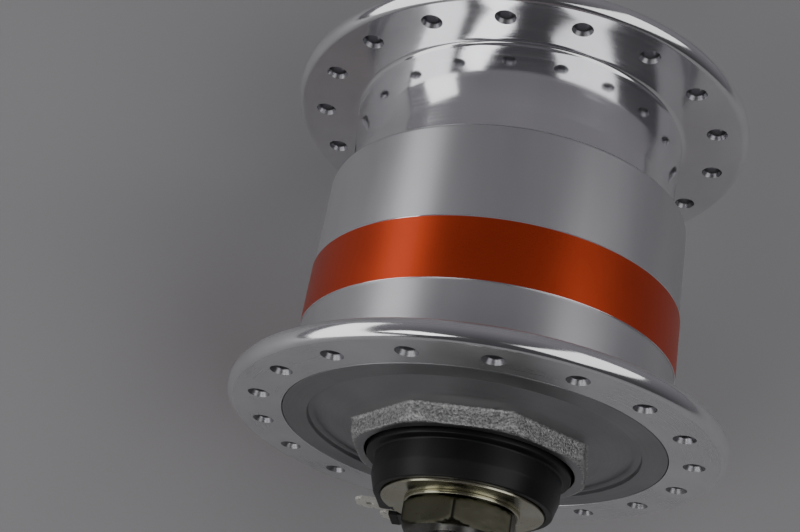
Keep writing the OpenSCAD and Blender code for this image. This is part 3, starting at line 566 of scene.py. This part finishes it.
def make_shell():
    root = 2.6
    seal_r, seal_depth, bearing_r = CUP_R - 1.9, 1.8, CUP_R + 4
    outline = rounded([
        (BORE_R, CAP_SEAT_DEPTH), (CAP_SEAT_R, CAP_SEAT_DEPTH), (CAP_SEAT_R, 0, 0.12)
    ] + rim(0) + [
        (BARREL_R, FLANGE_T, root), (BARREL_R, BARREL_END, 0.7), (NECK_R + 0.5, BARREL_END, 0.9)
    ] + neck_outline() + [
        (NECK_R + 0.6, FLANGE_REACH, 1.6)
    ] + rim(FLANGE_REACH) + [
        (BOSS_R + 0.2, FAR_FACE + 0.9, 3.6), (BOSS_R, BOSS_END, 0.6),
        (CUP_R, BOSS_END, 0.3), (CUP_R, CUP_START), (seal_r, CUP_START),
        (seal_r, CUP_START - seal_depth), (bearing_r, CUP_START - seal_depth),
        (NECK_BORE_R, FLANGE_REACH - 4.2), (NECK_BORE_R, BARREL_END + 1.6), (BORE_R, BARREL_END - 2.2)
    ], 8)
    shell = lathe("hub_shell_turned", outline)
    first_angles = [HOLE_ANGLE, HOLE_ANGLE + math.pi / SPOKE_HOLES]
    carve(shell, [spoke_hole_cutter(0, first_angles[0]), spoke_hole_cutter(FLANGE_REACH, first_angles[1])])

    def in_hole(place, s, r):
        first, face = (first_angles[0], 0) if s < BARREL_END else (first_angles[1], FLANGE_REACH)
        step = TURN / SPOKE_HOLES
        if min(abs(s - face), abs(s - face - FLANGE_T)) < NEAR:
            return False
        off = (math.atan2(-place.z, place.x) - first + step / 2) % step - step / 2
        return math.hypot(r * math.cos(off) - SPOKE_CIRCLE_R, r * math.sin(off)) < SINK_R - 0.02

    def finish(place):
        s, r = reach_of(place)
        inside_rim = r < FLANGE_R - RIM_DEPTH
        on_barrel = FLANGE_T - NEAR < s < BARREL_END + 0.2 and inside_rim
        far_side = s > FAR_FACE - 0.5 and r < SPOKE_CIRCLE_R - 1.5
        # faces inside the spoke holes take the darkened finish, painted shade in the holes
        if in_hole(place, s, r):
            return finishes.index("drilled_shaded")
        front = s < NEAR and CAP_SEAT_R < r and inside_rim
        rim_back = 2.2 < s < BARREL_END and r > FLANGE_R - RIM_DEPTH
        if front or rim_back:
            return finishes.index("faced")
        return finishes.index("satin" if on_barrel or far_side else "polished")

    finishes = ["polished", "satin", "drilled_shaded", "faced"]
    return dressed(shell, "hub_shell", "shell", finishes, finish)


def make_band():
    low, high = BAND_LOW.y - FACE, BAND_HIGH.y - FACE
    lip = 0.22
    inner_r, outer_r = BARREL_R + 0.01, BAND_R - 0.02
    outline = rounded([
        (inner_r, low), (outer_r, low, 0.08), (outer_r, high - lip, 0.02), (outer_r, high, 0.1),
        (inner_r, high)
    ], 4)
    band = lathe("colour_band_film", outline)

    def finish(place):
        s = reach_of(place)[0]
        return 1 if s > high - lip or s < low + lip * 0.4 else 0

    return dressed(band, "colour_band", "shell", ["enamel", "polished"], finish)


def octagon(offset, limit):
    """The octagon's radius at each angle, plus an offset and kept within a round limit."""
    def radius(angles):
        flat = many_sided(angles, 8, OCTAGON_AF / 2, OCTAGON_ANGLE) + offset
        return soft_least([flat, np.full_like(flat, limit)], 7)
    return radius


def make_cap():
    top, foot = -OCTAGON_H, -PLATEAU_H
    skirt_r, skirt_in_r, skirt_end = 28.1, 25.9, 7.2
    housing_r, housing_end, race_r, circlip_r, seal_r = 17.8, 9.6, 14.0, 14.7, 12.4
    web_end, seat = 3.0, 0.6
    outline = rounded([
        (BOSS_BORE_R, -seat), (BOSS_BORE_R, top, 0.25), (17.8, top),
        (octagon(-0.35, 18.45), top), (octagon(-0.12, 18.75), top + 0.05), (octagon(0, 19.0), top + 0.2),
        (octagon(0, 19.35), top + 0.5), (octagon(0, 19.75), top + 0.85), (octagon(0, 20.4), top + 1.3),
        (octagon(0, 22), top + 2.1), (octagon(0.02, 22), foot - 0.35), (octagon(0.12, 22), foot - 0.15),
        (octagon(0.35, 22), foot + 0.02), (21.0, foot + 0.3), (22.0, foot + 0.55),
        (MOAT_R - 0.9, MOAT_DEPTH, 2.0), (MOAT_R - 0.1, MOAT_DEPTH - 0.3, 0.3), (MOAT_R, 0, 0.12),
        (MOAT_R + 0.6, 0), (CAP_R - 1, 0), (CAP_R, 0, 0.2), (CAP_R, CAP_RIM_T), (skirt_r, CAP_RIM_T),
        (skirt_r, skirt_end), (skirt_in_r, skirt_end), (skirt_in_r, web_end), (housing_r, web_end, 0.6),
        (housing_r, housing_end), (race_r, housing_end), (race_r, 8.8), (circlip_r, 8.8), (circlip_r, 7.6),
        (race_r, 7.6), (race_r, seat), (seal_r, seat), (seal_r, -seat)
    ], 5)
    cap = lathe("end_cap_turned", outline, FINE, OCTAGON_ANGLE)

    def finish(place):
        s, r = reach_of(place)
        return 1 if top + 0.02 < s < foot + NEAR and r > BOSS_BORE_R + 0.1 else 0

    return dressed(cap, "end_cap", "shell", ["machined", "cast"], finish)


def beside_blades(points, low, high):
    """A closed prism between two stations. Its corners (u, v) lie along and across the terminal blades."""
    rows = []
    for s in (low, high):
        ring = []
        for u, v in points:
            x = u * math.cos(BLADE_ANGLE) - v * math.sin(BLADE_ANGLE)
            y = u * math.sin(BLADE_ANGLE) + v * math.cos(BLADE_ANGLE)
            ring.append((x * MM, (s + FACE) * MM, -y * MM))
        rows.append(ring)
    count = len(points)
    faces = [(k, (k + 1) % count, count + (k + 1) % count, count + k) for k in range(count)]
    faces += [tuple(range(count)), tuple(count + k for k in reversed(range(count)))]
    prism = new_object("prism", rows[0] + rows[1], faces)
    face_outward(prism)
    return prism


def blade_box(u0, u1, v0, v1, low, high):
    """A box in line with the terminal blades."""
    return beside_blades([(u0, v0), (u1, v0), (u1, v1), (u0, v1)], low, high)


def eased(piece, width, segments=3, angle=40):
    """Small rounds on the edges of a piece."""
    step = piece.modifiers.new("eased", "BEVEL")
    step.width = width * MM
    step.segments = segments
    step.angle_limit = math.radians(angle)
    return settle(piece)


def make_connector_ring():
    shoulder = -(OCTAGON_H + 0.6)
    foot, wall_t, web_back = -1.5, 1.8, -9.0
    tube_in_r, tube_end = 7.55, 0.6
    outline = rounded([
        (SEAT_R, -WEB), (RING_MOUTH_R, -WEB), (RING_MOUTH_R, -RING_REACH, 0.2),
        (RING_LIP_R, -RING_REACH, 0.3), (RING_WALL_R, -8.0, 1.2), (RING_WALL_R, shoulder - 0.3, 0.4),
        (RING_R, shoulder - 0.1, 0.3), (RING_R, foot, 0.2), (RING_R - wall_t, foot, 0.2),
        (RING_MOUTH_R - 0.2, web_back), (TUBE_R, web_back), (TUBE_R, tube_end), (tube_in_r, tube_end),
        (tube_in_r, web_back), (SEAT_R, web_back)
    ], 6)
    ring = lathe("connector_ring_moulded", outline)
    wall_in = RING_MOUTH_R - 0.3
    wall = eased(beside_blades([
        (wall_in, -2.74), (RING_LIP_R, 0.0), (RING_LIP_R, LIVE_V + 0.4), (RING_LIP_R - 0.4, LIVE_V),
        (wall_in - 0.7, LIVE_V)
    ], -RING_REACH + 0.01, -RING_REACH + 2.4), 0.25)
    tube = lathe("tube", [(0.1, -12.0), (TUBE_R + 0.3, -12.0), (TUBE_R + 0.3, 0.0), (0.1, 0.0)], 96)
    room_start, room_end, play = 2.25, RING_R + 2, 0.05
    lower, upper = GROUND_V - BLADE_W / 2 - 0.55, LIVE_V + BLADE_W / 2 + play
    room = blade_box(room_start, room_end, lower, upper, BLADE_FACE - play, LEG_END + play)
    mouth = blade_box(room_start, room_end, lower, LIVE_V, -RING_REACH - 0.5, LEG_END)
    join(ring, wall)
    carve(room, [copy_of(tube)])
    carve(mouth, [tube])
    carve(ring, [room, mouth])
    return dressed(ring, "connector_ring", "root", ["black"])


def copy_of(piece):
    made = bpy.data.objects.new(piece.name + "_again", piece.data.copy())
    bpy.context.scene.collection.objects.link(made)
    return made


def make_blade(node, root, reach, v):
    """A stamped terminal blade: bevelled tip, catch hole and a leg bent down at its root."""
    half, tip = BLADE_W / 2, BLADE_W / 4
    blade = beside_blades([
        (root, v - half), (reach - tip, v - half), (reach, v - half + tip), (reach, v + half - tip),
        (reach - tip, v + half), (root, v + half)
    ], BLADE_FACE, BLADE_FACE + BLADE_T)
    hole_r, hole_u = 0.7, reach - 2.4
    points = [(hole_u + hole_r * math.cos(a), v + hole_r * math.sin(a))
              for a in np.linspace(0, TURN, 32, endpoint=False)]
    carve(blade, [beside_blades(points, BLADE_FACE - 0.5, BLADE_FACE + 1)])
    leg = blade_box(root, root + BLADE_T, v + half - 2, v + half, BLADE_FACE + BLADE_T * 0.5, LEG_END)
    join(blade, leg)
    eased(blade, 0.1, 2, 50)
    return dressed(blade, node, "root", ["tinned"])


def make_terminals():
    make_blade("terminal_blade_live", 9.6, 18.2, LIVE_V)
    make_blade("terminal_blade_ground", 3.5, 14.7, GROUND_V)


def make_cover_plate():
    face, edge_r = -WEB - 0.6, RING_MOUTH_R - 0.25
    outline = rounded([
        (SEAT_R, face), (edge_r, face, 0.07), (edge_r + 0.05, -WEB, 0.05), (SEAT_R, -WEB)
    ], 4)
    plate = lathe("cover_plate_pressed", outline)
    notch_v = LIVE_V + BLADE_W / 2 + 0.9
    carve(plate, [blade_box(edge_r - 1.5, 15, LIVE_V, notch_v, face - 0.5, -WEB + 0.5)])
    return dressed(plate, "cover_plate", "root", ["olive"])


def make_plate_washer():
    low, high = span("plate_washer")
    s0, s1 = low.y - FACE, high.y - FACE
    outline = rounded([(SEAT_R, s0), (high.x, s0, 0.22), (high.x, s1, 0.1), (SEAT_R, s1)], 4)
    washer = lathe("plate_washer_turned", outline)
    return dressed(washer, "plate_washer", "root", ["olive"])


def thread_radius(crest, s):
    """The radius of a screw thread at a station, at each angle."""
    def radius(angles):
        phase = (s / THREAD_PITCH - angles / TURN) % 1.0
        ridge = np.abs(phase - 0.5) * 2
        return crest - 0.5 * THREAD_PITCH * np.clip(ridge * 1.25 - 0.12, 0, 1)
    return radius


def hexagon(af, limit, corner_at):
    """A hexagon's radius at each angle, kept within a round limit."""
    def radius(angles):
        flat = many_sided(angles, 6, af / 2, corner_at)
        return soft_least([flat, np.full_like(flat, limit)], 8)
    return radius


def hexagon_sizes(af):
    """Half the widths across flats and corners, and how far a bevel of 30 degrees rises between them."""
    half = af / 2
    corner = half / math.cos(math.radians(30))
    return half, corner, (corner - half) * math.tan(math.radians(30))


def nut_outline(af, low, high, corner_at, bore):
    """A hexagon nut's section, with both ends bevelled at 30 degrees and the bore's mouths countersunk."""
    half, corner, lift = hexagon_sizes(af)
    bevels = [0.0, 0.35, 0.7, 1.0, 1.35]

    def cut(part):
        return hexagon(af, half + part * (corner - half) + 0.02, corner_at)

    whole = hexagon(af, corner + 2, corner_at)
    made = [(bore, low + 0.5), (bore + 0.45, low), (half - 0.7, low)]
    made += [(cut(part), low + part * lift + 0.02) for part in bevels]
    made += [(whole, low + 0.3 * (high - low)), (whole, low + 0.7 * (high - low))]
    made += [(cut(part), high - part * lift - 0.02) for part in reversed(bevels)]
    made += [(half - 0.7, high), (bore + 0.45, high), (bore, high - 0.5)]
    return made


def make_lock_nut(end, corner_at):
    node = "lock_nut_" + end
    low, high = span(node)
    outline = nut_outline(NUT_AF, low.y - FACE, high.y - FACE, corner_at, NUT_BORE_R)
    nut = lathe(node + "_hex", outline, FINE, corner_at)
    # the nut takes the olive plate darkened as painted shade
    return dressed(nut, node, "root", ["shaded_olive"])


def make_axle():
    low, high = span("axle")
    nut_low, nut_high = span("lock_nut_dynamo")[0].y - FACE, span("lock_nut_far")[1].y - FACE
    seat_low, seat_high = nut_low - SEAT_LENGTH, nut_high + SEAT_LENGTH
    start, end = low.y - FACE, high.y - FACE
    bevel, tip_r, centre_r = 0.8, 2.0, 1.5
    per_turn = 10
    thick_r, thick_start, thick_end = 5.0, 10.5, 38.5
    point_r, seat_r, neck_r = THREAD_R - bevel, SEAT_R - 0.02, SEAT_R - 0.25

    def threaded(s0, s1):
        count = int(round((s1 - s0) * per_turn))
        stations = [s0 + (s1 - s0) * k / count for k in range(count + 1)]
        return [(thread_radius(THREAD_R, s), s) for s in stations]

    outline = [(centre_r, start + 0.25), (tip_r, start), (point_r - 0.2, start), (point_r, start + 0.08)]
    outline += threaded(start + bevel, seat_low - 0.3)
    outline += [(neck_r, seat_low - 0.1), (seat_r, seat_low + 0.15), (seat_r, nut_low - 0.1)]
    outline += [(THREAD_R, nut_low), (THREAD_R, thick_start), (thick_r, thick_start)]
    outline += [(thick_r, thick_end), (THREAD_R, thick_end), (THREAD_R, nut_high)]
    outline += [(seat_r, nut_high + 0.1), (seat_r, seat_high - 0.15), (neck_r, seat_high + 0.1)]
    outline += threaded(seat_high + 0.3, end - bevel)
    outline += [(point_r, end - 0.08), (point_r - 0.2, end), (tip_r, end), (centre_r, end - 0.25)]
    axle = lathe("axle_threaded", outline, 96, 0.0, False)
    return dressed(axle, "axle", "root", ["steel"])


def make_far_cone():
    low, high = span("far_cone")
    s0, s1 = low.y - FACE, high.y - FACE
    cone_r, half_flats = 8.0, 7.0
    flat_start, flat_end = BOSS_END + 1.2, s1 - 1.2
    ball_circle_r, groove_r = 8.8, 2.48

    def two_flats(angles):
        across = half_flats / np.maximum(np.abs(np.cos(angles)), 0.3)
        return soft_least([across, np.full_like(across, cone_r)], 12)

    balls = s0 + 2.6
    groove = [(ball_circle_r - groove_r * math.cos(t), balls + groove_r * math.sin(t))
              for t in np.linspace(0, 1.24, 8)]
    outline = [(SEAT_R, s0), (6.2, s0), (6.22, balls - 0.02)] + groove + [
        (cone_r, balls + 2.5), (cone_r, flat_start), (two_flats, flat_start + 0.01),
        (two_flats, flat_end - 0.01), (cone_r, flat_end), (cone_r, s1 - 0.4), (cone_r - 0.4, s1),
        (SEAT_R, s1)
    ]
    cone = lathe("far_cone_turned", outline)
    return dressed(cone, "far_cone", "root", ["steel"])


def make_dust_cap():
    s0 = span("far_dust_cap")[0].y - FACE
    mouth_r, outer_r = 8.6, CUP_R - 0.01
    outline = rounded([
        (mouth_r, s0), (outer_r, s0), (outer_r, s0 + 1.0, 0.25), (9.8, s0 + 1.1, 0.4),
        (9.3, s0 + 1.6, 0.2), (mouth_r, s0 + 1.6, 0.2)
    ], 5)
    cap = lathe("far_dust_cap_pressed", outline)
    return dressed(cap, "far_dust_cap", "shell", ["rubber"])


def make_hub_nut(end, side):
    """A nut and its captive serrated washer. side is +1 where they face outward along the stations."""
    nut_low, nut_high = span("hub_nut_" + end)
    washer_low, washer_high = span("serrated_washer_" + end)
    grip = (washer_low if side > 0 else washer_high).y - FACE + side * SEAT_PLAY
    tip = (nut_high if side > 0 else nut_low).y - FACE
    hole_r, outer, thick = 6.05, washer_high.x, WASHER_T - SEAT_PLAY
    depth = 0.6

    def out(distance):
        return grip + side * distance

    def ridge(level):
        """A face cut into radial ridges, deepest at its rim."""
        def station(angles):
            wave = np.abs((angles * RIDGES / TURN) % 1.0 - 0.5) * 2
            return grip + side * depth * level * np.clip(1.3 * wave - 0.15, 0, 1)
        return station

    washer = lathe("serrated_washer_%s_cut" % end, [
        (hole_r, out(0.3)), (hole_r + 0.25, out(0.02)), (hole_r + 0.6, out(0)), (hole_r + 0.75, ridge(0.2)),
        (hole_r + 1.1, ridge(0.9)), (outer - 0.3, ridge(1.0)), (outer - 0.05, ridge(1.0)),
        (outer, out(0.72)), (outer, out(1.1)), (outer - 0.08, out(1.3)), (outer - 0.85, out(2.3)),
        (outer - 1.05, out(2.45)), (outer - 1.4, out(thick)), (hole_r, out(thick))
    ], RIDGES * 12)
    dressed(washer, "serrated_washer_" + end, "washer_" + end, ["zinc"])
    collar_end = grip + side * 0.8
    base = grip + side * (thick + 0.05)
    half, corner, lift = hexagon_sizes(HUB_NUT_AF)
    bore_r, collar_r = 4.55, 5.97
    whole = hexagon(HUB_NUT_AF, corner + 2, 0.0)
    outline = [(bore_r, collar_end + side * 0.4), (4.9, collar_end), (collar_r - 0.12, collar_end),
               (collar_r, collar_end + side * 0.12), (collar_r, base), (half - 0.4, base)]
    outline += [(whole, base + side * k) for k in (0.02, 0.3, 2.0, 4.2)]
    for part in (1.7, 1.35, 1.0, 0.7, 0.35, 0.0):
        cut = hexagon(HUB_NUT_AF, half + part * (corner - half) + 0.02, 0.0)
        outline.append((cut, tip - side * (part * lift + 0.02)))
    outline += [(half - 0.6, tip), (5.2, tip), (bore_r, tip - side * 0.6)]
    nut = lathe("hub_nut_%s_hex" % end, outline, FINE)
    return dressed(nut, "hub_nut_" + end, "nut_" + end, ["zinc"])


def softbox(name, place, size, energy, turn=0.0):
    """A studio softbox that faces the hub's middle, turned about its own by some degrees."""
    data = bpy.data.lights.new(name, "AREA")
    data.shape = "RECTANGLE"
    data.size, data.size_y = size
    data.energy = energy
    lamp = bpy.data.objects.new(name, data)
    facing = (-Vector(place)).to_track_quat("-Z", "Y").to_matrix().to_4x4()
    lamp.matrix_world = Matrix.Translation(place) @ facing @ Matrix.Rotation(math.radians(turn), 4, "Z")
    bpy.context.scene.collection.objects.link(lamp)


def make_world():
    """A dim room, a little lighter behind the hub than in front of it."""
    world = bpy.data.worlds.new("studio")
    world.use_nodes = True
    tree = world.node_tree
    room = tree.nodes["Background"]
    room.inputs["Color"].default_value = (1.0, 0.96, 1.04, 1)
    heading = tree.nodes.new("ShaderNodeTexCoord")
    split = tree.nodes.new("ShaderNodeSeparateXYZ")
    fade = tree.nodes.new("ShaderNodeMapRange")
    for socket, value in (("From Min", -0.6), ("From Max", 0.6), ("To Min", 0.055), ("To Max", 0.175)):
        fade.inputs[socket].default_value = value
    tree.links.new(heading.outputs["Generated"], split.inputs[0])
    tree.links.new(split.outputs["Y"], fade.inputs["Value"])
    tree.links.new(fade.outputs["Result"], room.inputs["Strength"])
    bpy.context.scene.world = world


def make_stage():
    size = 0.9
    level = -FLANGE_R * MM
    corners = [(-size, -size, level), (size, -size, level), (size, size, level), (-size, size, level)]
    floor = new_object("floor", corners, [(0, 1, 2, 3)])
    pale = Shader("pale_floor", (0.5, 0.5, 0.51), 0.0, 0.6)
    cloud = pale.noise(pale.place, 6, 3.0)
    pale.colours(pale.ramp(cloud, 0, 1), (0.4, 0.396, 0.404), (0.43, 0.426, 0.434))
    floor.data.materials.append(pale.material)
    make_world()
    softbox("softbox_left", (-0.66, -0.18, 0.19), (1.7, 0.34), 2.7, -14)
    softbox("softbox_right", (0.403, -0.17, 0.555), (0.98, 0.47), 1.75)
    softbox("softbox_front", (-0.45, -0.5, 0.52), (0.4, 0.25), 0.7)


def make_camera():
    data = bpy.data.cameras.new("view")
    data.sensor_width = 36
    data.lens = 58.6
    data.shift_x, data.shift_y = -0.0106, 0.023
    data.clip_start = 0.01
    camera = bpy.data.objects.new("view", data)
    place = Vector((-28.77, -103.04, 197.03)) * MM
    aim = Vector((-14.61, -8.30, -1.04)) * MM
    roll = math.radians(20.0)
    look = (aim - place).to_track_quat("-Z", "Y").to_matrix().to_4x4()
    camera.matrix_world = Matrix.Translation(place) @ look @ Matrix.Rotation(roll, 4, "Z")
    bpy.context.scene.collection.objects.link(camera)
    bpy.context.scene.camera = camera


dress_nodes()
make_camera()
make_stage()
make_shell()
make_band()
make_cap()
make_connector_ring()
make_terminals()
make_cover_plate()
make_plate_washer()
make_lock_nut("dynamo", NUT_ANGLE)
make_lock_nut("far", 0.0)
make_axle()
make_far_cone()
make_dust_cap()
make_hub_nut("dynamo", -1)
make_hub_nut("far", 1)
